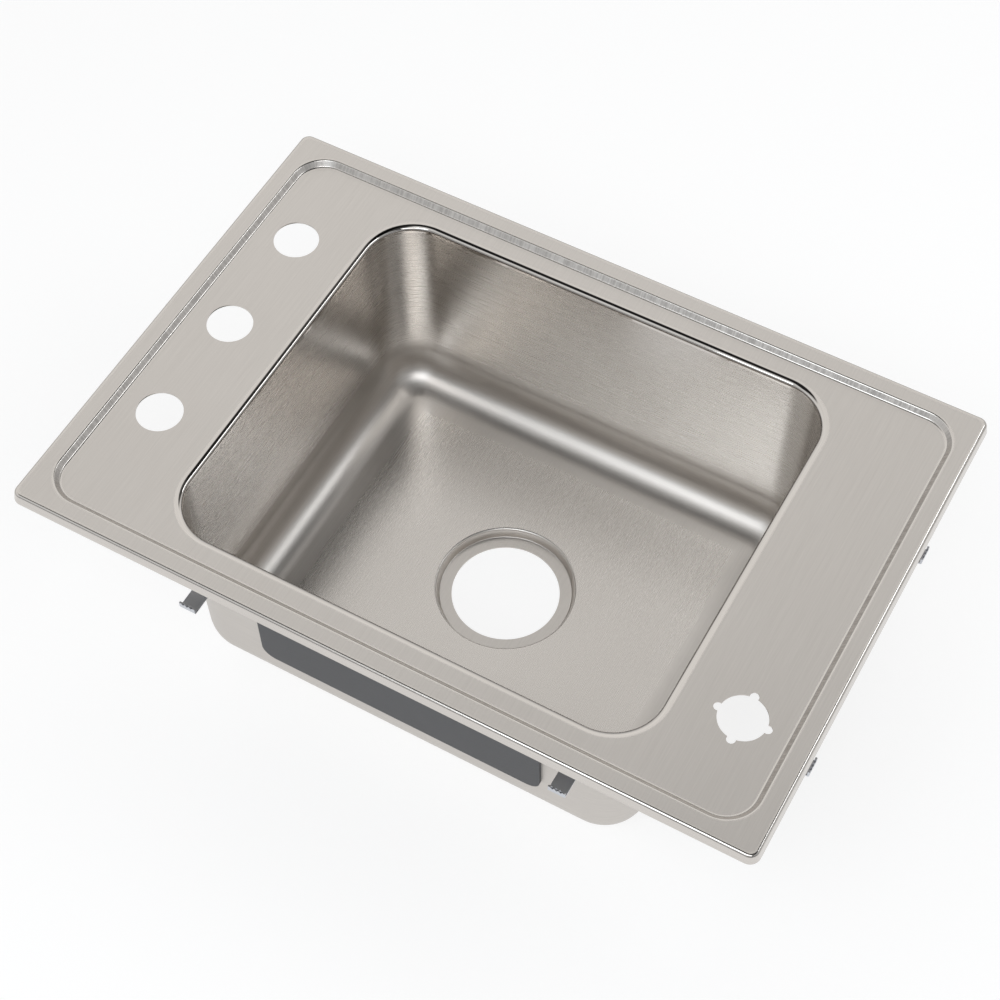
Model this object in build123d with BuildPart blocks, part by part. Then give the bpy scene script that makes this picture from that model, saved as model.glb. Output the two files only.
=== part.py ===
from build123d import *
from math import atan, cos, radians, sin, tan
import os

# Drop-in classroom sink pressed from one sheet of stainless steel, with its mounting hardware.
# Frame: origin under the middle of the sink, at its lowest point. +Z is up, X runs along the
# long side from the faucet ledge to the drinking-fountain ledge, and Y runs from front to back.

# Sheet and depths
gauge = 1.2
floor_below_rim = 193.7
ledge_below_rim = 4.8
drain_recess_depth = 8.5

# Raised rim and its turned-down skirt
deck_length = 635.0
deck_width = 431.8
deck_corner_radius = 9.0
skirt_drop = 9.0
skirt_flare_angle = 10.0
rim_roll_radius = 3.0

# Sloped step from the rim down to the ledge
rim_flat_width = 17.0
step_slope_angle = 40.0
step_corner_radius = 29.0
step_top_radius = 2.2
step_foot_radius = 2.2

# Ledge, from the foot of the step to the outer edge of the bowl's rolled mouth
end_ledge_width = 86.8
side_ledge_width = 14.7

# Bowl
bowl_corner_radius = 42.0
bowl_draft_angle = 2.0
bowl_cove_radius = 33.0
mouth_roll_radius = 5.2

# Drain
drain_hole_radius = 46.0
drain_seat_radius = 56.5
drain_recess_radius = 59.0
drain_edge_radius = 2.5

# Faucet holes, in a row along one short edge, and the drinking-fountain hole with its notches
faucet_hole_radius = 19.05
faucet_hole_spacing = 101.6
faucet_hole_count = 3
faucet_holes_from_edge = 56.0
faucet_holes_off_middle = 9.5
fountain_hole_radius = 19.05
fountain_hole_from_end = 58.0
fountain_hole_from_front = 100.4
notch_radius = 3.6
notch_reach = 23.4
notch_count = 4

# Mounting rails welded under the ledge, just inside the foot of the step
rail_width = 11.0
rail_height = 7.0
rail_wall = 0.8
rail_behind_step = 1.5
rail_from_corner = 62.0

# Clamps: a T-headed bolt in the rail, a toothed jaw and a hexagon nut
bolt_radius = 2.4
bolt_head_thickness = 2.4
bolt_past_nut = 1.6
clamp_travel = 25.4
thinnest_counter = 10.0
long_clamp_from_rail_end = 95.0
end_clamp_from_rail_end = 49.0
jaw_width = 14.0
jaw_thickness = 1.6
jaw_reach = 26.0
jaw_tail = 7.0
jaw_tail_height = 5.0
jaw_lip_height = 7.0
jaw_bend_radius = 2.0
jaw_tooth_count = 4
jaw_notch_depth = 1.8
jaw_notch_width = 2.6
nut_across_flats = 9.5
nut_height = 3.2

# Damping pads glued to the outside of the bowl
pad_thickness = 3.0
pad_corner_radius = 12.0
wall_pad_below_ledge = 62.0
wall_pad_above_cove = 14.0
wall_pad_from_corner = 36.0
floor_pad_from_cove = 27.0
floor_pad_from_recess = 11.0

# Clearances
slide_gap = 0.15
head_side_gap = 0.2
bolt_slot_gap = 0.4
thread_gap = 0.08
nut_gap = 0.05
jaw_hole_gap = 0.4

# Levels, from the lowest point up
rim_z = floor_below_rim + drain_recess_depth + gauge
ledge_z = rim_z - ledge_below_rim
floor_z = rim_z - floor_below_rim
seat_z = floor_z - drain_recess_depth
ledge_under_z = ledge_z - gauge
skirt_foot_z = rim_z - skirt_drop
bowl_depth = ledge_z - floor_z

# Lengths and widths seen from above: the foot of the step and the bowl at the level of the ledge
step_run = ledge_below_rim * tan(radians(step_slope_angle))
step_foot_inset = rim_flat_width + step_run
bowl_length = deck_length - 2 * (step_foot_inset + end_ledge_width + mouth_roll_radius)
bowl_width = deck_width - 2 * (step_foot_inset + side_ledge_width + mouth_roll_radius)
bowl_lean = bowl_depth * tan(radians(bowl_draft_angle))
cove_run = bowl_cove_radius * tan(radians(45 - bowl_draft_angle / 2))


def tapered_block(top_z, length, width, corner, depth, angle):
    """A rounded rectangle pushed down from top_z. A positive angle narrows it on the way down."""
    with BuildPart() as block:
        with BuildSketch(Plane.XY.offset(top_z)):
            RectangleRounded(length, width, corner)
        extrude(dir=(0, 0, -1), amount=depth, taper=angle)
    return block.part


def edges_on_level(shape, z, length, width):
    """The edges of shape that lie at height z inside a rectangle about the middle."""
    flat = shape.edges().filter_by_position(Axis.Z, z - 0.01, z + 0.01)
    inside = flat.filter_by_position(Axis.X, -length / 2, length / 2)
    return inside.filter_by_position(Axis.Y, -width / 2, width / 2)


def ring_on_level(shape, z, radius):
    """The round edges of shape at height z that have the given radius."""
    round_edges = shape.edges().filter_by(GeomType.CIRCLE)
    flat = round_edges.filter_by_position(Axis.Z, z - 0.01, z + 0.01)
    return flat.filter_by(lambda edge: abs(edge.radius - radius) < 0.01)


def finish(piece, name):
    """Labels a finished piece and writes it to its own file."""
    piece.part.label = name
    export_step(piece.part, f"parts/{name}.step")


os.makedirs("parts", exist_ok=True)

# The skirt leans outward, so the top of the rim is smaller than the whole deck
skirt_lean = skirt_drop * tan(radians(skirt_flare_angle))
rim_length = deck_length - 2 * skirt_lean
rim_width = deck_width - 2 * skirt_lean
rim_corner = deck_corner_radius - skirt_lean
step_length = deck_length - 2 * rim_flat_width
step_width = deck_width - 2 * rim_flat_width

# Sideways shifts that keep the sheet's thickness on each sloping wall
wall_offset = gauge / cos(radians(bowl_draft_angle))
step_offset = gauge / cos(radians(step_slope_angle))
skirt_offset = (gauge - gauge * sin(radians(skirt_flare_angle))) / cos(radians(skirt_flare_angle))
recess_lean = atan((drain_recess_radius - drain_seat_radius) / drain_recess_depth)
recess_offset = (gauge - gauge * sin(recess_lean)) / cos(recess_lean)

# Solids that stand for the bowl's outer face and for the space inside it
with BuildPart() as bowl_outside:
    add(
        tapered_block(
            ledge_z,
            bowl_length + 2 * wall_offset,
            bowl_width + 2 * wall_offset,
            bowl_corner_radius + wall_offset,
            bowl_depth + gauge,
            bowl_draft_angle,
        )
    )
    fillet(bowl_outside.edges().group_by(Axis.Z)[0], bowl_cove_radius + gauge)

with BuildPart() as bowl_inside:
    add(tapered_block(ledge_z, bowl_length, bowl_width, bowl_corner_radius, bowl_depth, bowl_draft_angle))
    fillet(bowl_inside.edges().group_by(Axis.Z)[0], bowl_cove_radius)

with BuildPart() as sink_shell:
    # Rim plate with its skirt, hollow underneath
    add(tapered_block(rim_z, rim_length, rim_width, rim_corner, skirt_drop, -skirt_flare_angle))
    fillet(sink_shell.edges().group_by(Axis.Z)[-1], rim_roll_radius)
    add(
        tapered_block(
            rim_z - gauge,
            rim_length - 2 * skirt_offset,
            rim_width - 2 * skirt_offset,
            rim_corner - skirt_offset,
            skirt_drop - gauge,
            -skirt_flare_angle,
        ),
        mode=Mode.SUBTRACT,
    )
    fillet(edges_on_level(sink_shell, rim_z - gauge, deck_length, deck_width), rim_roll_radius - gauge)

    # Step down to the ledge
    add(
        tapered_block(
            rim_z,
            step_length + 2 * step_offset,
            step_width + 2 * step_offset,
            step_corner_radius + step_offset,
            ledge_below_rim + gauge,
            step_slope_angle,
        )
    )
    add(
        tapered_block(rim_z, step_length, step_width, step_corner_radius, ledge_below_rim, step_slope_angle),
        mode=Mode.SUBTRACT,
    )
    step_zone = (step_length + 4 * gauge, step_width + 4 * gauge)
    fillet(edges_on_level(sink_shell, rim_z, *step_zone), step_top_radius)
    fillet(edges_on_level(sink_shell, ledge_z, *step_zone), step_foot_radius)

    # Bowl with its rolled mouth
    add(bowl_outside.part)
    add(bowl_inside.part, mode=Mode.SUBTRACT)
    mouth_zone = (bowl_length + 4 * gauge, bowl_width + 4 * gauge)
    fillet(edges_on_level(sink_shell, ledge_z, *mouth_zone), mouth_roll_radius)
    fillet(edges_on_level(sink_shell, ledge_under_z, *mouth_zone), mouth_roll_radius - gauge)

    # Sunk seat round the drain hole
    with BuildSketch(Plane.XZ):
        with BuildLine():
            Polyline(
                (0, floor_z),
                (drain_recess_radius + recess_offset, floor_z),
                (drain_recess_radius + recess_offset, floor_z - gauge),
                (drain_seat_radius + recess_offset, seat_z - gauge),
                (0, seat_z - gauge),
                close=True,
            )
        make_face()
    revolve(axis=Axis.Z)
    with BuildSketch(Plane.XZ):
        with BuildLine():
            Polyline(
                (0, floor_z),
                (drain_recess_radius, floor_z),
                (drain_seat_radius, seat_z),
                (drain_hole_radius, seat_z),
                (drain_hole_radius, seat_z - gauge),
                (0, seat_z - gauge),
                close=True,
            )
        make_face()
    revolve(axis=Axis.Z, mode=Mode.SUBTRACT)
    fillet(ring_on_level(sink_shell, floor_z, drain_recess_radius), drain_edge_radius)
    fillet(ring_on_level(sink_shell, seat_z, drain_seat_radius), drain_edge_radius - gauge)

    # Holes punched through the ledges
    faucet_row = (faucet_holes_from_edge - deck_length / 2, faucet_holes_off_middle)
    fountain_spot = (deck_length / 2 - fountain_hole_from_end, fountain_hole_from_front - deck_width / 2)
    with BuildSketch(Plane.XY.offset(ledge_z)):
        with Locations(faucet_row):
            with GridLocations(0, faucet_hole_spacing, 1, faucet_hole_count):
                Circle(faucet_hole_radius)
        with Locations(fountain_spot):
            Circle(fountain_hole_radius)
            with PolarLocations(notch_reach - notch_radius, notch_count):
                Circle(notch_radius)
    extrude(dir=(0, 0, -1), amount=gauge, mode=Mode.SUBTRACT)
finish(sink_shell, "sink_shell")

# Rails run between the corners, and their slots take the bolts
rail_from_edge = step_foot_inset + rail_behind_step + rail_width / 2
rail_slot_width = 2 * (bolt_radius + bolt_slot_gap)
long_rail_length = deck_length - 2 * rail_from_corner
end_rail_length = deck_width - 2 * rail_from_corner
long_pad_length = bowl_length - 2 * (bowl_corner_radius + wall_pad_from_corner)
end_pad_length = bowl_width - 2 * (bowl_corner_radius + wall_pad_from_corner)

# The four sides of the sink: the way out from the middle, the rail and the places of its clamps
sides = {
    "front": (0, -1, long_rail_length, long_pad_length, long_clamp_from_rail_end),
    "back": (0, 1, long_rail_length, long_pad_length, long_clamp_from_rail_end),
    "faucet_end": (-1, 0, end_rail_length, end_pad_length, end_clamp_from_rail_end),
    "fountain_end": (1, 0, end_rail_length, end_pad_length, end_clamp_from_rail_end),
}

# Depths below the underside of the ledge, for a clamp at rest at the bottom of its travel
head_depth = rail_height - rail_wall - slide_gap
jaw_depth = ledge_under_z - skirt_foot_z + thinnest_counter + clamp_travel + jaw_lip_height
nut_top_depth = jaw_depth + nut_gap
nut_foot_depth = nut_top_depth + nut_height
bolt_tip_depth = nut_foot_depth + bolt_past_nut


def rail_plane(out_x, out_y, along, depth):
    """Level plane on a rail's middle line, below the ledge. Its X points outward from the sink."""
    reach_x = deck_length / 2 - rail_from_edge
    reach_y = deck_width / 2 - rail_from_edge
    spot = (out_x * reach_x - out_y * along, out_y * reach_y + out_x * along, ledge_under_z - depth)
    return Plane(origin=spot, x_dir=(out_x, out_y, 0), z_dir=(0, 0, 1))


def make_rail(name, out_x, out_y, length):
    """Lipped channel, open downward, welded to the underside of the ledge."""
    middle = rail_plane(out_x, out_y, 0, rail_height / 2)
    section = Plane(origin=middle.origin, x_dir=middle.x_dir, z_dir=-middle.y_dir)
    with BuildPart() as rail:
        with BuildSketch(section):
            RectangleRounded(rail_width, rail_height, rail_wall)
            Rectangle(rail_width - 2 * rail_wall, rail_height - 2 * rail_wall, mode=Mode.SUBTRACT)
            with Locations((0, -rail_height / 2)):
                Rectangle(rail_slot_width, 3 * rail_wall, mode=Mode.SUBTRACT)
        extrude(amount=length / 2, both=True)
    finish(rail, name)


def make_wall_pad(name, out_x, out_y, length):
    """Damping sheet that lies on the outer face of one leaning wall of the bowl."""
    height = bowl_depth - bowl_cove_radius - wall_pad_below_ledge - wall_pad_above_cove
    middle_drop = wall_pad_below_ledge + height / 2
    lean = radians(bowl_draft_angle)
    half_bowl = abs(out_x) * bowl_length / 2 + abs(out_y) * bowl_width / 2
    half = half_bowl + wall_offset - middle_drop * tan(lean)
    wall = Plane(
        origin=(out_x * half, out_y * half, ledge_z - middle_drop),
        x_dir=(-out_y, out_x, 0),
        z_dir=(out_x * cos(lean), out_y * cos(lean), -sin(lean)),
    )
    with BuildPart() as pad:
        with BuildSketch(wall):
            RectangleRounded(length, height, pad_corner_radius)
        extrude(amount=pad_thickness)
    finish(pad, name)


def make_bolt(name, out_x, out_y, along):
    """T-headed bolt, hung by its head on the lips of the rail."""
    head_length = rail_width - 2 * (rail_wall + head_side_gap)
    head_width = rail_slot_width - 2 * head_side_gap
    with BuildPart() as bolt:
        with BuildSketch(rail_plane(out_x, out_y, along, head_depth)):
            Rectangle(head_length, head_width)
        extrude(amount=bolt_head_thickness)
        chamfer(bolt.edges().group_by(Axis.Z)[-1], bolt_head_thickness / 4)
        with BuildSketch(rail_plane(out_x, out_y, along, head_depth)):
            Circle(bolt_radius)
        extrude(amount=head_depth - bolt_tip_depth)
    finish(bolt, name)


def make_jaw(name, out_x, out_y, along):
    """Pressed steel jaw: a strip with a plain tail and a toothed lip, both bent upward."""
    base = rail_plane(out_x, out_y, along, jaw_depth)
    side_view = Plane(origin=base.origin, x_dir=base.x_dir, z_dir=-base.y_dir)
    lip_top = rail_plane(out_x, out_y, along, jaw_depth - jaw_lip_height)
    lip_face = Plane(origin=lip_top.origin + lip_top.x_dir * jaw_reach, x_dir=base.y_dir, z_dir=base.x_dir)
    with BuildPart() as jaw:
        with BuildSketch(side_view):
            with BuildLine():
                Polyline(
                    (-jaw_tail, 0),
                    (jaw_reach, 0),
                    (jaw_reach, jaw_lip_height),
                    (jaw_reach - jaw_thickness, jaw_lip_height),
                    (jaw_reach - jaw_thickness, jaw_thickness),
                    (jaw_thickness - jaw_tail, jaw_thickness),
                    (jaw_thickness - jaw_tail, jaw_tail_height),
                    (-jaw_tail, jaw_tail_height),
                    close=True,
                )
            make_face()
        extrude(amount=jaw_width / 2, both=True)
        across = jaw.edges().filter_by(Axis(base.origin, base.y_dir))
        fillet(across.group_by(Axis.Z)[0], jaw_bend_radius)
        with BuildSketch(base):
            Circle(bolt_radius + jaw_hole_gap)
        extrude(amount=jaw_thickness, mode=Mode.SUBTRACT)
        with BuildSketch(lip_face):
            with GridLocations(jaw_width / jaw_tooth_count, 0, jaw_tooth_count - 1, 1):
                Polygon(
                    (-jaw_notch_width / 2, 0),
                    (0, -jaw_notch_depth),
                    (jaw_notch_width / 2, 0),
                    align=None,
                )
        extrude(amount=-jaw_thickness, mode=Mode.SUBTRACT)
    finish(jaw, name)


def make_nut(name, out_x, out_y, along):
    """Hexagon nut that bears on the jaw from below."""
    with BuildPart() as nut:
        with BuildSketch(rail_plane(out_x, out_y, along, nut_foot_depth)):
            RegularPolygon(nut_across_flats / 2, 6, major_radius=False)
            Circle(bolt_radius + thread_gap, mode=Mode.SUBTRACT)
        extrude(amount=nut_height)
    finish(nut, name)


for side, (out_x, out_y, rail_length, pad_length, clamp_from_end) in sides.items():
    make_rail(f"{side}_rail", out_x, out_y, rail_length)
    make_wall_pad(f"{side}_pad", out_x, out_y, pad_length)
    for number, end in ((1, -1), (2, 1)):
        along = end * (rail_length / 2 - clamp_from_end)
        make_bolt(f"{side}_bolt_{number}", out_x, out_y, along)
        make_jaw(f"{side}_jaw_{number}", out_x, out_y, along)
        make_nut(f"{side}_nut_{number}", out_x, out_y, along)

floor_flat_length = bowl_length - 2 * (bowl_lean + cove_run)
floor_flat_width = bowl_width - 2 * (bowl_lean + cove_run)
with BuildPart() as floor_pad:
    with BuildSketch(Plane.XY.offset(floor_z - gauge)):
        RectangleRounded(
            floor_flat_length - 2 * floor_pad_from_cove,
            floor_flat_width - 2 * floor_pad_from_cove,
            pad_corner_radius,
        )
        Circle(drain_recess_radius + floor_pad_from_recess, mode=Mode.SUBTRACT)
    extrude(amount=-pad_thickness)
finish(floor_pad, "floor_pad")
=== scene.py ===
from math import asin, atan2, cos, hypot, pi, radians, sin, tan

import bmesh
import bpy
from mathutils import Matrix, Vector


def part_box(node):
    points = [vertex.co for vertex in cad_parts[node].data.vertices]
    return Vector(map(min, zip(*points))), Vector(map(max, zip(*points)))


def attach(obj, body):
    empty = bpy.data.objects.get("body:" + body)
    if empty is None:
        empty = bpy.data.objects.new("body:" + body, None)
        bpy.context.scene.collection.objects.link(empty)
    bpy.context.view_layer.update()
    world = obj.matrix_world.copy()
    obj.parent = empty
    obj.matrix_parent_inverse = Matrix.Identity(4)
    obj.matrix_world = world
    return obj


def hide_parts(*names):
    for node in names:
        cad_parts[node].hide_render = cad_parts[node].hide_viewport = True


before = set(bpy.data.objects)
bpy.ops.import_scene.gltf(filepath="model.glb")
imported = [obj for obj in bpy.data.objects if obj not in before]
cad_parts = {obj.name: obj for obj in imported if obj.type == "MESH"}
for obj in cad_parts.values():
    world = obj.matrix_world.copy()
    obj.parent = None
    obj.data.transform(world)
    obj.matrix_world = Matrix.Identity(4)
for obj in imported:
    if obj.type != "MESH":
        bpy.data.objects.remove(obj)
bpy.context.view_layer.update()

# Sizes of the sink in metres, the same as those of the solids
MM = 0.001
GAUGE = 1.2 * MM
FLOOR_BELOW_RIM = 193.7 * MM
LEDGE_BELOW_RIM = 4.8 * MM
DRAIN_RECESS_DEPTH = 8.5 * MM
SKIRT_DROP = 9.0 * MM
SKIRT_FLARE = radians(10)
DECK_CORNER_RADIUS = 9.0 * MM
RIM_ROLL_RADIUS = 3.0 * MM
RIM_FLAT_WIDTH = 17.0 * MM
STEP_SLOPE = radians(40)
STEP_CORNER_RADIUS = 29.0 * MM
STEP_EDGE_RADIUS = 2.2 * MM
END_LEDGE_WIDTH = 86.8 * MM
SIDE_LEDGE_WIDTH = 14.7 * MM
BOWL_CORNER_RADIUS = 42.0 * MM
BOWL_DRAFT = radians(2)
BOWL_COVE_RADIUS = 33.0 * MM
MOUTH_ROLL_RADIUS = 5.2 * MM
DRAIN_HOLE_RADIUS = 46.0 * MM
DRAIN_SEAT_RADIUS = 56.5 * MM
DRAIN_RECESS_RADIUS = 59.0 * MM
DRAIN_EDGE_RADIUS = 2.5 * MM
FAUCET_HOLE_RADIUS = 19.05 * MM
FAUCET_HOLE_SPACING = 101.6 * MM
FAUCET_HOLES_FROM_EDGE = 56.0 * MM
FAUCET_HOLES_OFF_MIDDLE = 9.5 * MM
FOUNTAIN_HOLE_RADIUS = 19.05 * MM
FOUNTAIN_HOLE_FROM_END = 58.0 * MM
FOUNTAIN_HOLE_FROM_FRONT = 100.4 * MM
NOTCH_RADIUS = 3.6 * MM
NOTCH_REACH = 23.4 * MM
NOTCH_COUNT = 4

# The roll of the bowl's mouth has two radii here in place of the solid's one: it starts softer, so
# that reflections run over it evenly
MOUTH_SOFT_RADIUS = 8.0 * MM
MOUTH_TIGHT_RADIUS = 3.6 * MM
MOUTH_SOFT_TURN = radians(30)

# Places that follow from the frame's own box
shell_high = Vector(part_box("sink_shell")[1])
DECK_HALF_LENGTH = shell_high.x
DECK_HALF_WIDTH = shell_high.y
RIM_Z = shell_high.z
LEDGE_Z = RIM_Z - LEDGE_BELOW_RIM
FLOOR_Z = RIM_Z - FLOOR_BELOW_RIM
SEAT_Z = FLOOR_Z - DRAIN_RECESS_DEPTH
SKIRT_FOOT_Z = RIM_Z - SKIRT_DROP
SKIRT_LEAN = SKIRT_DROP * tan(SKIRT_FLARE)
STEP_RUN = LEDGE_BELOW_RIM * tan(STEP_SLOPE)
BOWL_INSET_X = RIM_FLAT_WIDTH + STEP_RUN + END_LEDGE_WIDTH + MOUTH_ROLL_RADIUS
BOWL_INSET_Y = RIM_FLAT_WIDTH + STEP_RUN + SIDE_LEDGE_WIDTH + MOUTH_ROLL_RADIUS
BOWL_HALF_LENGTH = DECK_HALF_LENGTH - BOWL_INSET_X
BOWL_HALF_WIDTH = DECK_HALF_WIDTH - BOWL_INSET_Y
BOWL_LEAN = (LEDGE_Z - FLOOR_Z) * tan(BOWL_DRAFT)

# Directions of travel along the profile, from outside to inside, as angles from level
UP_SKIRT = pi / 2 - SKIRT_FLARE
LEVEL = 0.0
DOWN_STEP = -(pi / 2 - STEP_SLOPE)
DOWN_WALL = -(pi / 2 - BOWL_DRAFT)
DOWN_RECESS = -atan2(DRAIN_RECESS_DEPTH, DRAIN_RECESS_RADIUS - DRAIN_SEAT_RADIUS)

# Outlines that the profile's insets are counted from: half length, half width and corner radius
FAMILIES = {
    "deck": (DECK_HALF_LENGTH, DECK_HALF_WIDTH, DECK_CORNER_RADIUS),
    "step": (DECK_HALF_LENGTH - RIM_FLAT_WIDTH, DECK_HALF_WIDTH - RIM_FLAT_WIDTH, STEP_CORNER_RADIUS),
    "bowl": (BOWL_HALF_LENGTH, BOWL_HALF_WIDTH, BOWL_CORNER_RADIUS),
}

# How finely the sheet is divided: along its outline, along its bends, and in rows between the bends
CORNER_STEPS = 16
LONG_SIDE_STEPS = 36
SHORT_SIDE_STEPS = 26
BEND_STEP = radians(7)
FEWEST_BEND_STEPS = 3
RIM_ROWS = 2
LEDGE_ROWS = 6
WALL_ROWS = 9
FLOOR_ROWS = 8

# How finely the holes are divided, and how far their cutters stand out of the ledge both ways
HOLE_STEPS = 72
HOLE_ARC_STEPS = 18
NOTCH_STEPS = 12
PUNCH_REACH = 6 * MM

# Faces whose normal stands steeper than this are flat, and their grain runs from front to back
FLAT_NORMAL = 0.999
# In the profile map the underside's places go down from the first number, inside the pair below it
UNDERSIDE_START = -1
UNDERSIDE_PLACES = (-9.0, -0.5)
# Edges that turn more than this stay sharp, and faces weigh this much in the shading
SHARP_ANGLE = radians(32)
FACE_WEIGHT = 80

# Camera: where it stands round the sink in degrees, how far off, and how much the sink fills
CAMERA_AZIMUTH = 29.0
CAMERA_ELEVATION = 55.0
CAMERA_DISTANCE = 1.75
CAMERA_CLIP = 50
FRAME_FILL = 0.985
SENSOR = 36.0
# The picture takes in the bowl's corners down to this height, which hang lowest in it
BOWL_FOOT_Z = 0.03


def place_camera():
    """Camera on the fountain end's front side, above the deck, framed on the whole sink."""
    azimuth, elevation = radians(CAMERA_AZIMUTH), radians(CAMERA_ELEVATION)
    back = Vector((sin(azimuth) * cos(elevation), -cos(azimuth) * cos(elevation), sin(elevation)))
    camera_data = bpy.data.cameras.new("camera")
    camera = bpy.data.objects.new("camera", camera_data)
    bpy.context.scene.collection.objects.link(camera)
    camera.location = Vector((0, 0, RIM_Z)) + back * CAMERA_DISTANCE
    camera.rotation_euler = back.to_track_quat("Z", "Y").to_euler()
    bpy.context.scene.camera = camera
    corners = []
    for x in (-1, 1):
        for y in (-1, 1):
            corners += [(x * DECK_HALF_LENGTH, y * DECK_HALF_WIDTH, z) for z in (SKIRT_FOOT_Z, RIM_Z)]
            corners.append((x * BOWL_HALF_LENGTH, y * BOWL_HALF_WIDTH, BOWL_FOOT_Z))
    turn = camera.rotation_euler.to_matrix().transposed()
    seen = [turn @ (Vector(corner) - camera.location) for corner in corners]
    across = [spot.x / -spot.z for spot in seen]
    upward = [spot.y / -spot.z for spot in seen]
    view_width = (max(across) - min(across)) / FRAME_FILL
    camera_data.sensor_width = SENSOR
    camera_data.lens = SENSOR / view_width
    camera_data.shift_x = (min(across) + max(across)) / 2 / view_width
    camera_data.shift_y = (min(upward) + max(upward)) / 2 / view_width
    camera_data.clip_end = CAMERA_CLIP


place_camera()


class Nodes:
    """Short way to build the node tree of a material or a world."""

    def __init__(self, owner, shader="Principled BSDF"):
        owner.use_nodes = True
        self.owner = owner
        self.tree = owner.node_tree
        self.shader = self.tree.nodes[shader]

    def add(self, kind, inputs=None, **settings):
        node = self.tree.nodes.new(kind)
        for key, value in settings.items():
            setattr(node, key, value)
        self.fill(node, inputs or {})
        return node

    def fill(self, node, inputs):
        """Gives a node's sockets their links or their constant values."""
        for key, value in inputs.items():
            if isinstance(value, bpy.types.NodeSocket):
                self.tree.links.new(value, node.inputs[key])
            else:
                node.inputs[key].default_value = value

    def math(self, operation, *values):
        return self.add("ShaderNodeMath", dict(enumerate(values)), operation=operation).outputs[0]

    def shift(self, value, start, end, first=0.0, last=1.0):
        """Goes from first to last while the value goes from start to end."""
        inputs = {"Value": value, "From Min": start, "From Max": end, "To Min": first, "To Max": last}
        return self.add("ShaderNodeMapRange", inputs).outputs["Result"]

    def spread(self, value, low, high):
        """Moves a 0 to 1 value into low to high."""
        return self.shift(value, 0.0, 1.0, low, high)

    def band(self, value, low, high, blur):
        """1 between low and high, falling to 0 over blur on each side."""
        rise = self.shift(value, low - blur, low)
        return self.math("SUBTRACT", rise, self.shift(value, high, high + blur))

    def mix(self, factor, first, second, kind="FLOAT"):
        """Goes from first to second while the factor goes from 0 to 1."""
        inputs = {"Factor": factor, "A": first, "B": second}
        return self.add("ShaderNodeMix", inputs, data_type=kind).outputs["Result"]

    def noise(self, vector, scale, detail, roughness=0.5):
        inputs = {"Vector": vector, "Scale": scale, "Detail": detail, "Roughness": roughness}
        return self.add("ShaderNodeTexNoise", inputs).outputs["Fac"]

    def stretched_noise(self, vector, sizes, detail, roughness=0.5):
        """Noise with its own size in each direction."""
        stretched = self.add("ShaderNodeMapping", {"Vector": vector, "Scale": sizes}).outputs["Vector"]
        return self.noise(stretched, 1.0, detail, roughness)

    def bump(self, height, strength, distance):
        """Small relief of the surface, as a normal."""
        inputs = {"Height": height, "Strength": strength, "Distance": distance}
        return self.add("ShaderNodeBump", inputs).outputs["Normal"]


class Profile:
    """Points of the sheet's top face from the skirt's foot to the drain hole, with their normals.

    Each point is (family, inset, z, normal inset, normal z). The family says which outline the inset
    is counted from."""

    def __init__(self):
        self.points = []

    def straight(self, family, start, end, steps):
        """Points from start to end, without the start."""
        along = (end[0] - start[0], end[1] - start[1])
        length = hypot(*along)
        normal = (-along[1] / length, along[0] / length)
        for step in range(1, steps + 1):
            share = step / steps
            self.points.append((family, start[0] + along[0] * share, start[1] + along[1] * share, *normal))

    def bend(self, family, corner, before, after, radius):
        """Arc that is tangent to two directions of travel at a corner."""
        turn = after - before
        reach = radius * tan(abs(turn) / 2)
        side = 1 if turn > 0 else -1
        start = (corner[0] - reach * cos(before), corner[1] - reach * sin(before))
        middle = (start[0] - side * radius * sin(before), start[1] + side * radius * cos(before))
        steps = max(FEWEST_BEND_STEPS, round(abs(turn) / BEND_STEP))
        for step in range(steps + 1):
            angle = before + turn * step / steps
            normal = (-sin(angle), cos(angle))
            spot = (middle[0] - side * radius * normal[0], middle[1] - side * radius * normal[1])
            self.points.append((family, *spot, *normal))

    def soft_bend(self, family, corner, after, soft, tight, share):
        """Bend down from level that starts with a large radius and ends with a small one."""
        turn = abs(after)
        run = soft * sin(share) + tight * (sin(turn) - sin(share))
        fall = soft * (1 - cos(share)) + tight * (cos(share) - cos(turn))
        start = corner[0] + fall / tan(turn) - run
        self.bend(family, (start + soft * tan(share / 2), corner[1]), LEVEL, -share, soft)
        meeting = self.points.pop()
        reach = tight * tan((turn - share) / 2)
        second_corner = (meeting[1] + reach * cos(share), meeting[2] - reach * sin(share))
        self.bend(family, second_corner, -share, after, tight)


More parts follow.
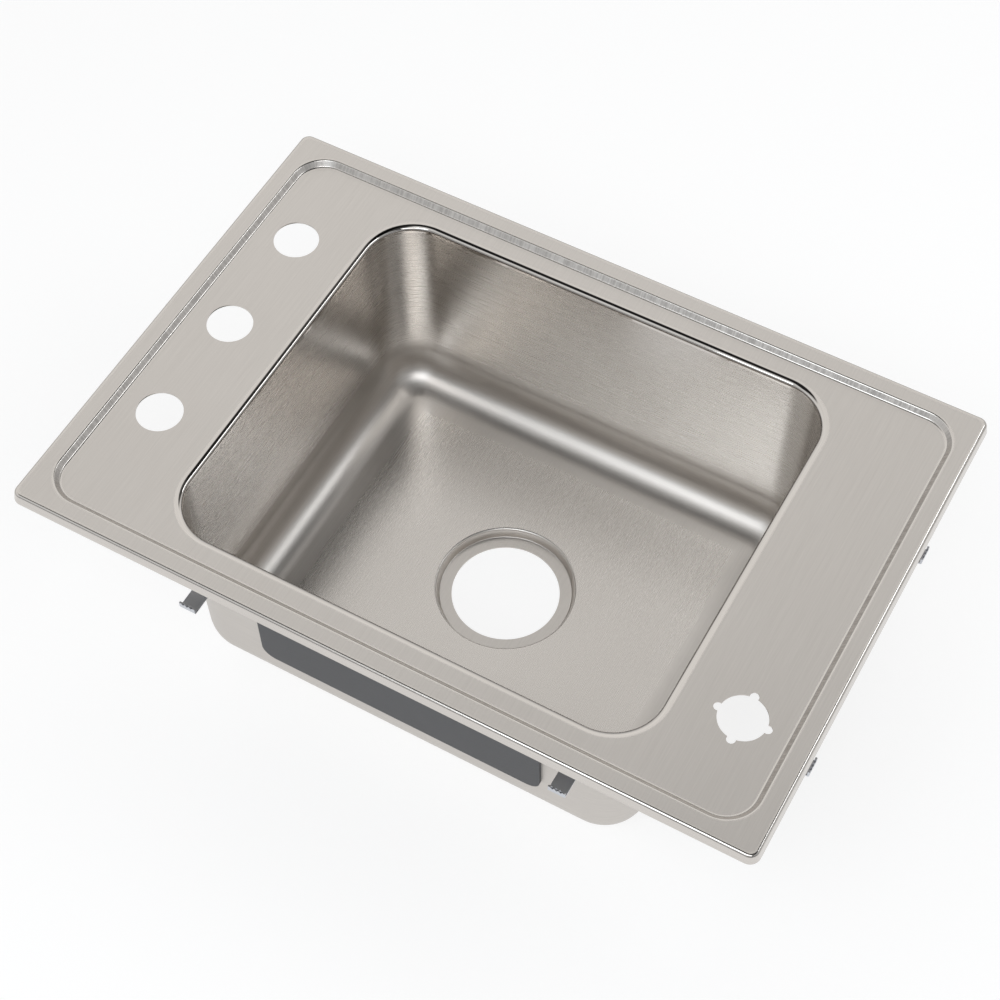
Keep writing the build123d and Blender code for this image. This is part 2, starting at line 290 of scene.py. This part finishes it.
def sheet_profile():
    """The whole top face, and the numbers of the points where its forms start and end.

    In the drain family the inset is minus the radius."""
    profile = Profile()
    points, marks = profile.points, {}
    points.append(("deck", 0.0, SKIRT_FOOT_Z, -cos(SKIRT_FLARE), sin(SKIRT_FLARE)))
    profile.bend("deck", (SKIRT_LEAN, RIM_Z), UP_SKIRT, LEVEL, RIM_ROLL_RADIUS)
    marks["rim_roll_end"] = len(points) - 1
    marks["step_start"] = len(points)
    profile.bend("step", (0, RIM_Z), LEVEL, DOWN_STEP, STEP_EDGE_RADIUS)
    profile.bend("step", (STEP_RUN, LEDGE_Z), DOWN_STEP, LEVEL, STEP_EDGE_RADIUS)
    marks["step_end"] = len(points) - 1
    marks["mouth_start"] = len(points)
    mouth_radii = (MOUTH_SOFT_RADIUS, MOUTH_TIGHT_RADIUS)
    profile.soft_bend("bowl", (0, LEDGE_Z), DOWN_WALL, *mouth_radii, MOUTH_SOFT_TURN)
    marks["mouth_end"] = len(points) - 1
    cove_reach = BOWL_COVE_RADIUS * tan(-DOWN_WALL / 2)
    cove_top = (BOWL_LEAN - cove_reach * cos(DOWN_WALL), FLOOR_Z - cove_reach * sin(DOWN_WALL))
    profile.straight("bowl", points[-1][1:3], cove_top, WALL_ROWS)
    points.pop()
    marks["cove_start"] = len(points)
    profile.bend("bowl", (BOWL_LEAN, FLOOR_Z), DOWN_WALL, LEVEL, BOWL_COVE_RADIUS)
    marks["cove_end"] = len(points) - 1
    marks["recess_start"] = len(points)
    profile.bend("drain", (-DRAIN_RECESS_RADIUS, FLOOR_Z), LEVEL, DOWN_RECESS, DRAIN_EDGE_RADIUS)
    profile.bend("drain", (-DRAIN_SEAT_RADIUS, SEAT_Z), DOWN_RECESS, LEVEL, DRAIN_EDGE_RADIUS - GAUGE)
    points.append(("drain", -DRAIN_HOLE_RADIUS, SEAT_Z, 0.0, 1.0))
    return points, marks


def rounded_outline(half_x, half_y, corner, z):
    """Points of a rounded rectangle, counter-clockwise from the corner at +X, -Y."""

    def spot(sign_x, sign_y, degrees):
        angle = radians(degrees)
        x = sign_x * (half_x - corner) + corner * cos(angle)
        y = sign_y * (half_y - corner) + corner * sin(angle)
        return Vector((x, y, z))

    outline = []
    corners = ((1, -1, -90), (1, 1, 0), (-1, 1, 90), (-1, -1, 180))
    for side, (sign_x, sign_y, start) in enumerate(corners):
        for step in range(CORNER_STEPS + 1):
            outline.append(spot(sign_x, sign_y, start + 90 * step / CORNER_STEPS))
        last = outline[-1]
        first = spot(*corners[(side + 1) % len(corners)])
        steps = SHORT_SIDE_STEPS if side % 2 == 0 else LONG_SIDE_STEPS
        outline += [last.lerp(first, step / steps) for step in range(1, steps)]
    return outline


def ring_points(family, inset, z, angles=()):
    """One closed row of the sheet's vertices. The angles place those of a round row."""
    if family == "drain":
        return [Vector((-inset * cos(angle), -inset * sin(angle), z)) for angle in angles]
    half_x, half_y, corner = FAMILIES[family]
    return rounded_outline(half_x - inset, half_y - inset, corner - inset, z)


def between(first, second, steps):
    """Rows between two rows, without either of them."""
    rows = []
    for step in range(1, steps):
        rows.append([a.lerp(b, step / steps) for a, b in zip(first, second)])
    return rows


def sheet_rows(points, marks, thickness):
    """All rows of one face of the sheet, and the number of the row that each point gives.

    The thickness is how far the face lies below the top face."""
    floor = points[marks["cove_end"]]
    floor_edge = ring_points(floor[0], floor[1] - thickness * floor[3], 0)
    drain_angles = [atan2(spot.y, spot.x) for spot in floor_edge]
    steps_before = {
        marks["step_start"]: RIM_ROWS,
        marks["mouth_start"]: LEDGE_ROWS,
        marks["recess_start"]: FLOOR_ROWS,
    }
    rows = []
    row_numbers = []
    for index, (family, inset, z, normal_in, normal_z) in enumerate(points):
        if index == 0 and thickness > 0:
            # The skirt's foot is cut level
            inset_here, z_here = inset + thickness / cos(SKIRT_FLARE), z
        else:
            inset_here, z_here = inset - thickness * normal_in, z - thickness * normal_z
        row = ring_points(family, inset_here, z_here, drain_angles)
        if index in steps_before:
            rows += between(rows[-1], row, steps_before[index])
        row_numbers.append(len(rows))
        rows.append(row)
    return rows, row_numbers


def row_places(rows):
    """Distance along the profile to each row in metres, measured in the middle of an end side."""
    probe = CORNER_STEPS + SHORT_SIDE_STEPS // 2
    places = [0.0]
    for before, after in zip(rows, rows[1:]):
        places.append(places[-1] + (after[probe] - before[probe]).length)
    return places


def build_sheet():
    """The pressed sheet as one closed mesh, with two UV maps: profile and grain.

    Also gives each mark's distance along the profile in metres."""
    points, marks = sheet_profile()
    top, row_numbers = sheet_rows(points, marks, 0.0)
    under = sheet_rows(points, marks, GAUGE)[0]
    rows = top + under[::-1]
    places = row_places(top)
    count = len(top[0])
    vertices = [vertex for row in rows for vertex in row]
    faces = []
    for i in range(len(rows)):
        j = (i + 1) % len(rows)
        faces += [((i, k), (i, k + 1), (j, k + 1), (j, k)) for k in range(count)]
    mesh = bpy.data.meshes.new("sink_sheet")
    mesh.from_pydata(vertices, [], [[row * count + k % count for row, k in face] for face in faces])
    profile_map = mesh.uv_layers.new(name="profile")
    grain_map = mesh.uv_layers.new(name="grain")
    for polygon, face in zip(mesh.polygons, faces):
        is_top = face[0][0] < len(top) - 1
        flat = abs(polygon.normal.z) > FLAT_NORMAL
        for corner, (row, k) in zip(polygon.loop_indices, face):
            spot = vertices[row * count + k % count]
            along = k / count * 2 * (DECK_HALF_LENGTH + DECK_HALF_WIDTH)
            place = places[row] if row < len(top) else places[len(rows) - 1 - row]
            profile_map.data[corner].uv = (along, place if is_top else UNDERSIDE_START - place)
            grain_map.data[corner].uv = (spot.y, spot.x) if flat else (along, place)
    sheet = bpy.data.objects.new("sink_sheet", mesh)
    bpy.context.scene.collection.objects.link(sheet)
    work = bmesh.new()
    work.from_mesh(mesh)
    bmesh.ops.recalc_face_normals(work, faces=work.faces)
    work.to_mesh(mesh)
    work.free()
    return sheet, {mark: places[row_numbers[point]] for mark, point in marks.items()}


def punch(x, y, outline):
    """Solid cutter with the given outline, standing through the ledge."""
    work = bmesh.new()
    face = work.faces.new([work.verts.new((x + a, y + b, LEDGE_Z - PUNCH_REACH)) for a, b in outline])
    grown = bmesh.ops.extrude_face_region(work, geom=[face])["geom"]
    raised = [item for item in grown if isinstance(item, bmesh.types.BMVert)]
    bmesh.ops.translate(work, vec=(0, 0, 2 * PUNCH_REACH), verts=raised)
    bmesh.ops.recalc_face_normals(work, faces=work.faces)
    mesh = bpy.data.meshes.new("punch")
    work.to_mesh(mesh)
    work.free()
    cutter = bpy.data.objects.new("punch", mesh)
    bpy.context.scene.collection.objects.link(cutter)
    return cutter


def circle_outline(radius):
    angles = [2 * pi * step / HOLE_STEPS for step in range(HOLE_STEPS)]
    return [(radius * cos(angle), radius * sin(angle)) for angle in angles]


def notched_outline(radius, notch, reach):
    """Round hole with round-ended notches, counter-clockwise."""
    centre = reach - notch
    # Half of the angle that a notch takes from the hole's circle, and half of its own arc
    half = pi / 2 - asin((radius**2 + centre**2 - notch**2) / (2 * radius * centre))
    swing = atan2(radius * sin(half), radius * cos(half) - centre)
    arc = 2 * pi / NOTCH_COUNT - 2 * half
    outline = []
    for number in range(NOTCH_COUNT):
        middle = number * 2 * pi / NOTCH_COUNT
        outline.append((radius * cos(middle - half), radius * sin(middle - half)))
        for step in range(1, NOTCH_STEPS):
            angle = -swing + 2 * swing * step / NOTCH_STEPS
            x, y = centre + notch * cos(angle), notch * sin(angle)
            outline.append((x * cos(middle) - y * sin(middle), x * sin(middle) + y * cos(middle)))
        for step in range(HOLE_ARC_STEPS):
            angle = middle + half + arc * step / HOLE_ARC_STEPS
            outline.append((radius * cos(angle), radius * sin(angle)))
    return outline


def apply_modifiers(piece):
    """Makes the piece's mesh what its modifiers show."""
    view = bpy.context.evaluated_depsgraph_get()
    shown = piece.evaluated_get(view)
    done = bpy.data.meshes.new_from_object(shown, preserve_all_data_layers=True, depsgraph=view)
    piece.modifiers.clear()
    piece.data = done


def cut_holes(sheet):
    """The three faucet holes and the notched fountain hole."""
    faucet_x = FAUCET_HOLES_FROM_EDGE - DECK_HALF_LENGTH
    faucet_hole = circle_outline(FAUCET_HOLE_RADIUS)
    cutters = []
    for number in (-1, 0, 1):
        faucet_y = FAUCET_HOLES_OFF_MIDDLE + number * FAUCET_HOLE_SPACING
        cutters.append(punch(faucet_x, faucet_y, faucet_hole))
    fountain_x = DECK_HALF_LENGTH - FOUNTAIN_HOLE_FROM_END
    fountain_y = FOUNTAIN_HOLE_FROM_FRONT - DECK_HALF_WIDTH
    fountain_hole = notched_outline(FOUNTAIN_HOLE_RADIUS, NOTCH_RADIUS, NOTCH_REACH)
    cutters.append(punch(fountain_x, fountain_y, fountain_hole))
    for cutter in cutters:
        cut = sheet.modifiers.new("cut", "BOOLEAN")
        cut.object = cutter
        cut.operation = "DIFFERENCE"
        cut.solver = "EXACT"
    apply_modifiers(sheet)
    for cutter in cutters:
        bpy.data.objects.remove(cutter)


def smooth(piece):
    """Smooth shading with the real edges kept sharp, and flats kept flat."""
    work = bmesh.new()
    work.from_mesh(piece.data)
    for face in work.faces:
        face.smooth = True
    for edge in work.edges:
        edge.smooth = len(edge.link_faces) == 2 and edge.calc_face_angle(0) < SHARP_ANGLE
    work.to_mesh(piece.data)
    work.free()
    weigh = piece.modifiers.new("weigh", "WEIGHTED_NORMAL")
    weigh.keep_sharp = True
    weigh.weight = FACE_WEIGHT
    apply_modifiers(piece)


# Colour of the sink's steel, between the darkest and the lightest of its grain
DARK_STEEL = (0.547, 0.518, 0.488, 1)
LIGHT_STEEL = (0.707, 0.673, 0.637, 1)
STEEL_ANISOTROPY = 0.45
# Grain of the steel: scale of its noise along U, V and W of the map that it lies in, then detail
# and, where it isn't the usual one, roughness
FINE_GRAIN = ((45, 2600, 1), 2.0)
LONG_GRAIN = ((14, 700, 1), 3.0, 0.6)
STEP_GRAIN = ((1700, 14, 1), 1.0)
# Scale and detail of the noise that is even in all directions
GRIT = (900, 2.0)
CLOUDS = (9, 3.0)
# How far contrast is stretched past 0 and 1, in the colour of the grain and in the step's streaks
GRAIN_CONTRAST = (-0.45, 1.45)
STREAK_CONTRAST = (-1.3, 2.3)
# Shares of the second of two patterns where they are mixed
LONG_GRAIN_SHARE = 0.55
GRAIN_COLOUR_SHARE = 0.6
STREAK_COLOUR_SHARE = 0.8
CLOUD_ROUGHNESS_SHARE = 0.4
ROLL_SHARE = 0.8
# Roughness by place; where there are two values the pattern moves it between them
DECK_ROUGHNESS = (0.27, 0.40)
BOWL_ROUGHNESS = (0.20, 0.34)
COVE_ROUGHNESS = (0.32, 0.46)
SLOPE_ROUGHNESS = (0.28, 0.40)
STEP_ROUGHNESS = 0.17
ROLL_ROUGHNESS = 0.14
MOUTH_ROUGHNESS = 0.05
UNDER_ROUGHNESS = 0.5
# Relief: weights of grain, grit and streaks, and the level where the steel is plain
GRAIN_RELIEF = 0.7
GRIT_RELIEF = 0.3
STREAK_RELIEF = 0.15
PLAIN_RELIEF = 0.5
STEEL_BUMP = (0.3, 0.05 * MM)
# How far the finish of each form fades out past its ends
MOUTH_FADE = 1.0 * MM
STEP_FADE = 0.5 * MM
SLOPE_FADE = 0.4 * MM
ROLL_FADE = 1.0 * MM
BOWL_FADE = 2.0 * MM
COVE_FADE = 12.0 * MM
UNDER_FADE = 0.1
# The mouth's polish goes on past its roll, and the rim's starts above the skirt's foot
MOUTH_EXTRA = 1.5 * MM
ROLL_START = 1.0 * MM


def stainless(places):
    """Satin stainless steel: fine grain, a polished mouth, a brushed step and a dull underside."""
    nodes = Nodes(bpy.data.materials.new("stainless_satin"))
    profile = nodes.add("ShaderNodeUVMap", uv_map="profile").outputs["UV"]
    grain = nodes.add("ShaderNodeUVMap", uv_map="grain").outputs["UV"]
    place = nodes.add("ShaderNodeSeparateXYZ", {"Vector": profile}).outputs["Y"]
    solid = nodes.add("ShaderNodeTexCoord").outputs["Object"]

    # Where each form of the sheet lies; the slope is the step between its two bends
    step_start, step_end = places["step_start"], places["step_end"]
    step_bend = STEP_EDGE_RADIUS * (pi / 2 - STEP_SLOPE)
    mouth = nodes.band(place, places["mouth_start"], places["mouth_end"] + MOUTH_EXTRA, MOUTH_FADE)
    step = nodes.band(place, step_start, step_end, STEP_FADE)
    slope = nodes.band(place, step_start + step_bend, step_end - step_bend, SLOPE_FADE)
    roll = nodes.band(place, ROLL_START, places["rim_roll_end"], ROLL_FADE)
    bowl = nodes.band(place, places["mouth_end"], places["recess_start"], BOWL_FADE)
    cove = nodes.band(place, places["cove_start"], places["cove_end"], COVE_FADE)
    under = nodes.band(place, *UNDERSIDE_PLACES, UNDER_FADE)

    fine_lines = nodes.stretched_noise(grain, *FINE_GRAIN)
    long_lines = nodes.stretched_noise(grain, *LONG_GRAIN)
    hairlines = nodes.mix(LONG_GRAIN_SHARE, fine_lines, long_lines)
    grit = nodes.noise(solid, *GRIT)
    clouds = nodes.noise(solid, *CLOUDS)
    streaks = nodes.spread(nodes.stretched_noise(profile, *STEP_GRAIN), *STREAK_CONTRAST)

    tone = nodes.mix(GRAIN_COLOUR_SHARE, clouds, nodes.spread(hairlines, *GRAIN_CONTRAST))
    tone = nodes.mix(nodes.math("MULTIPLY", slope, STREAK_COLOUR_SHARE), tone, streaks)

    rough = nodes.spread(nodes.mix(CLOUD_ROUGHNESS_SHARE, hairlines, clouds), *DECK_ROUGHNESS)
    rough = nodes.mix(bowl, rough, nodes.spread(hairlines, *BOWL_ROUGHNESS))
    rough = nodes.mix(cove, rough, nodes.spread(hairlines, *COVE_ROUGHNESS))
    rough = nodes.mix(step, rough, STEP_ROUGHNESS)
    rough = nodes.mix(slope, rough, nodes.spread(streaks, *SLOPE_ROUGHNESS))
    rough = nodes.mix(nodes.math("MULTIPLY", roll, ROLL_SHARE), rough, ROLL_ROUGHNESS)
    rough = nodes.mix(mouth, rough, MOUTH_ROUGHNESS)
    rough = nodes.mix(under, rough, UNDER_ROUGHNESS)

    grained = nodes.math("MULTIPLY", hairlines, GRAIN_RELIEF)
    relief = nodes.math("ADD", grained, nodes.math("MULTIPLY", grit, GRIT_RELIEF))
    relief = nodes.mix(step, relief, PLAIN_RELIEF)
    relief = nodes.mix(slope, relief, nodes.math("MULTIPLY", streaks, STREAK_RELIEF))
    relief = nodes.mix(mouth, relief, PLAIN_RELIEF)

    tangent = nodes.add("ShaderNodeTangent", direction_type="UV_MAP", uv_map="grain")
    nodes.fill(
        nodes.shader,
        {
            "Base Color": nodes.mix(tone, DARK_STEEL, LIGHT_STEEL, "RGBA"),
            "Metallic": 1.0,
            "Roughness": rough,
            "Anisotropic": STEEL_ANISOTROPY,
            "Tangent": tangent.outputs["Tangent"],
            "Normal": nodes.bump(relief, *STEEL_BUMP),
        },
    )
    return nodes.owner


# Plain metal: how dark, how smooth and how rough its wear makes it, against its own values
WORN_COLOUR = 0.88
SMOOTHEST = 0.8
ROUGHEST = 1.25
METAL_CLOUDS = (60, 4.0)
METAL_GRIT = (1500, 2.0)
METAL_BUMP = (0.15, 0.03 * MM)


def plain_metal(name, colour, roughness):
    """Bare or plated steel of the hardware under the deck, with light wear."""
    nodes = Nodes(bpy.data.materials.new(name))
    solid = nodes.add("ShaderNodeTexCoord").outputs["Object"]
    clouds = nodes.noise(solid, *METAL_CLOUDS)
    grit = nodes.noise(solid, *METAL_GRIT)
    worn = (*[part * WORN_COLOUR for part in colour], 1)
    nodes.fill(
        nodes.shader,
        {
            "Base Color": nodes.mix(clouds, worn, (*colour, 1), "RGBA"),
            "Metallic": 1.0,
            "Roughness": nodes.spread(clouds, roughness * SMOOTHEST, roughness * ROUGHEST),
            "Normal": nodes.bump(grit, *METAL_BUMP),
        },
    )
    return nodes.owner


# Damping sheet: colour and roughness from cloud to cloud, and the pebbles of its face
DARK_PAD = (0.110, 0.111, 0.115, 1)
LIGHT_PAD = (0.165, 0.165, 0.168, 1)
PAD_ROUGHNESS = (0.62, 0.85)
PAD_CLOUDS = (18, 4.0)
PAD_BUMP = (0.5, 0.3 * MM)
PEBBLE_SCALE = 420.0


def damping_sheet():
    """Dark grey sound-damping sheet with a pebbled face."""
    nodes = Nodes(bpy.data.materials.new("damping_sheet"))
    solid = nodes.add("ShaderNodeTexCoord").outputs["Object"]
    pebbles = nodes.add("ShaderNodeTexVoronoi", {"Vector": solid, "Scale": PEBBLE_SCALE})
    clouds = nodes.noise(solid, *PAD_CLOUDS)
    nodes.fill(
        nodes.shader,
        {
            "Base Color": nodes.mix(clouds, DARK_PAD, LIGHT_PAD, "RGBA"),
            "Roughness": nodes.spread(clouds, *PAD_ROUGHNESS),
            "Normal": nodes.bump(pebbles.outputs["Distance"], *PAD_BUMP),
        },
    )
    return nodes.owner


def dress(node, material):
    """Gives a carried-over solid its material."""
    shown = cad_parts[node]
    shown.data.materials.clear()
    shown.data.materials.append(material)


sheet, places = build_sheet()
cut_holes(sheet)
smooth(sheet)
sheet.data.materials.append(stainless(places))
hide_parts("sink_shell")
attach(sheet, "sink")

rail_steel = plain_metal("rail_steel", (0.50, 0.495, 0.48), 0.38)
zinc = plain_metal("zinc_plate", (0.62, 0.64, 0.68), 0.3)
pad_sheet = damping_sheet()
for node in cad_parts:
    if node.endswith("_rail"):
        dress(node, rail_steel)
    elif node.endswith("_pad"):
        dress(node, pad_sheet)
    elif node != "sink_shell":
        dress(node, zinc)


# Brightness of the room by angle, in degrees up from the horizon on the camera's side, over the top
# and down to the horizon behind the sink
ROOM_LIGHT = (
    (0, 0.42),
    (22, 0.65),
    (26, 0.15),
    (33, 0.15),
    (38, 0.80),
    (60, 0.86),
    (80, 0.98),
    (113, 0.98),
    (140, 1.06),
    (160, 0.88),
    (180, 0.42),
)
FRONT_TINT = (0.965, 0.985, 1.0)
BACK_TINT = (1.0, 0.992, 0.978)
HALF_TURN = 180
# The ramp holds these levels divided by the first number; the second is the world's strength
LEVEL_DIVISOR = 1.2
ROOM_STRENGTH = 1.16
# Dark gap in the ceiling across the line of sight: angles where it starts to darken, is dark, is
# still dark and is light again, and how far to the sides it reaches
GAP_ANGLES = (82, 85, 107, 112)
GAP_REACH = (0.46, 0.62)
GAP_DEPTH = 0.98
# Dark gap in the ceiling toward the fountain end: X of a direction, and the height where it starts
DIM_ACROSS = (0.03, 0.11, 0.56, 0.66)
DIM_HEIGHT = (0.56, 0.64)
DIM_DEPTH = 0.90
# The room is darker on the side of the fountain end: X of a direction, and the level it goes down to
SIDE_ACROSS = (0.10, 0.50)
SIDE_LEVEL = 0.66
# Above the horizon a grey haze goes over into the bands: Z of a direction where that starts and ends
HAZE_HEIGHT = (0.14, 0.36)
HAZE = (0.38, 0.385, 0.395, 1)


def room():
    """World light in soft bands that run across the camera's line of sight."""
    nodes = Nodes(bpy.data.worlds.new("room"), "Background")
    bpy.context.scene.world = nodes.owner
    direction = nodes.add("ShaderNodeTexCoord").outputs["Generated"]
    split = nodes.add("ShaderNodeSeparateXYZ", {"Vector": direction})
    x, y, z = (split.outputs[name] for name in "XYZ")

    def times(value, factor):
        return nodes.math("MULTIPLY", value, factor)

    def light_left(gap, depth):
        """Share of the light that a gap of that depth leaves."""
        return nodes.math("SUBTRACT", 1.0, times(gap, depth))

    def gap_between(value, edges):
        """1 between the two middle edges, 0 outside the outer ones."""
        return times(nodes.shift(value, *edges[:2]), nodes.shift(value, *edges[2:], 1.0, 0.0))

    sine, cosine = sin(radians(CAMERA_AZIMUTH)), cos(radians(CAMERA_AZIMUTH))
    toward = nodes.math("SUBTRACT", times(x, sine), times(y, cosine))
    sideways = nodes.math("ADD", times(x, cosine), times(y, sine))
    height = nodes.math("MAXIMUM", z, 0.0)
    turn = nodes.math("DIVIDE", nodes.math("ARCTAN2", height, toward), pi)
    ramp = nodes.add("ShaderNodeValToRGB", {"Fac": turn})
    elements = ramp.color_ramp.elements
    while len(elements) < len(ROOM_LIGHT):
        elements.new(0.5)
    for element, (angle, level) in zip(elements, ROOM_LIGHT):
        tint = FRONT_TINT if angle < HALF_TURN / 2 else BACK_TINT
        element.position = angle / HALF_TURN
        element.color = (*[level * part / LEVEL_DIVISOR for part in tint], 1)

    reach = nodes.shift(nodes.math("ABSOLUTE", sideways), *GAP_REACH, 1.0, 0.0)
    gap = times(gap_between(turn, [angle / HALF_TURN for angle in GAP_ANGLES]), reach)
    dim = times(gap_between(x, DIM_ACROSS), nodes.shift(z, *DIM_HEIGHT))
    level = times(light_left(gap, GAP_DEPTH), light_left(dim, DIM_DEPTH))
    level = times(level, nodes.shift(x, *SIDE_ACROSS, 1.0, SIDE_LEVEL))
    dimming = {0: ramp.outputs["Color"], "Scale": level}
    dimmed = nodes.add("ShaderNodeVectorMath", dimming, operation="SCALE")
    hazy = nodes.shift(z, *HAZE_HEIGHT, 1.0, 0.0)
    colour = nodes.mix(hazy, dimmed.outputs["Vector"], HAZE, "RGBA")
    nodes.fill(nodes.shader, {"Color": colour, "Strength": ROOM_STRENGTH})


# Lamps: name, place, size, power in watts and colour, and the point that all of them face
LAMPS = (
    ("camera_softbox", (0.75, -1.35, 2.2), (1.2, 1.0), 12, (0.96, 0.98, 1.0)),
    ("front_window", (-0.06, -1.10, 1.42), (0.45, 0.7), 2.8, (0.86, 0.93, 1.0)),
    ("right_softbox", (0.95, 0.84, 1.36), (1.0, 0.3), 3.6, (0.94, 0.97, 1.0)),
)
LAMP_AIM = (0, 0, 0.1)


def add_lamp(name, place, size, power, colour):
    """Large soft lamp that faces the sink."""
    data = bpy.data.lights.new(name, "AREA")
    data.shape = "RECTANGLE"
    data.size, data.size_y = size
    data.energy = power
    data.color = colour
    lamp = bpy.data.objects.new(name, data)
    bpy.context.scene.collection.objects.link(lamp)
    lamp.location = place
    away = Vector(place) - Vector(LAMP_AIM)
    lamp.rotation_euler = away.to_track_quat("Z", "Y").to_euler()


# Floor: half its width, its colour under light, and how bright and how large a share of it is seen
# without the light on it
FLOOR_HALF = 14
FLOOR_COLOUR = (0.86, 0.86, 0.86, 1)
FLOOR_ROUGHNESS = 0.9
FLOOR_GLOW = 1.2
FLOOR_GLOW_SHARE = 0.63


def add_floor():
    """Pale floor that the camera and reflections see a little brighter than the light makes it."""
    corners = [(x * FLOOR_HALF, y * FLOOR_HALF, 0) for x, y in ((-1, -1), (1, -1), (1, 1), (-1, 1))]
    floor_mesh = bpy.data.meshes.new("floor")
    floor_mesh.from_pydata(corners, [], [(0, 1, 2, 3)])
    floor = bpy.data.objects.new("floor", floor_mesh)
    bpy.context.scene.collection.objects.link(floor)
    nodes = Nodes(bpy.data.materials.new("floor"))
    nodes.fill(nodes.shader, {"Base Color": FLOOR_COLOUR, "Roughness": FLOOR_ROUGHNESS})
    glow = nodes.add("ShaderNodeEmission", {"Strength": FLOOR_GLOW}).outputs["Emission"]
    rays = nodes.add("ShaderNodeLightPath").outputs
    seen = nodes.math("MAXIMUM", rays["Is Camera Ray"], rays["Is Glossy Ray"])
    seen = nodes.math("MAXIMUM", seen, rays["Is Transmission Ray"])
    share = nodes.math("MULTIPLY", seen, FLOOR_GLOW_SHARE)
    mix = nodes.add("ShaderNodeMixShader", {0: share, 1: nodes.shader.outputs["BSDF"], 2: glow})
    nodes.fill(nodes.tree.nodes["Material Output"], {"Surface": mix.outputs["Shader"]})
    floor.data.materials.append(nodes.owner)


bpy.context.scene.view_settings.view_transform = "Standard"
room()
for lamp_settings in LAMPS:
    add_lamp(*lamp_settings)
add_floor()
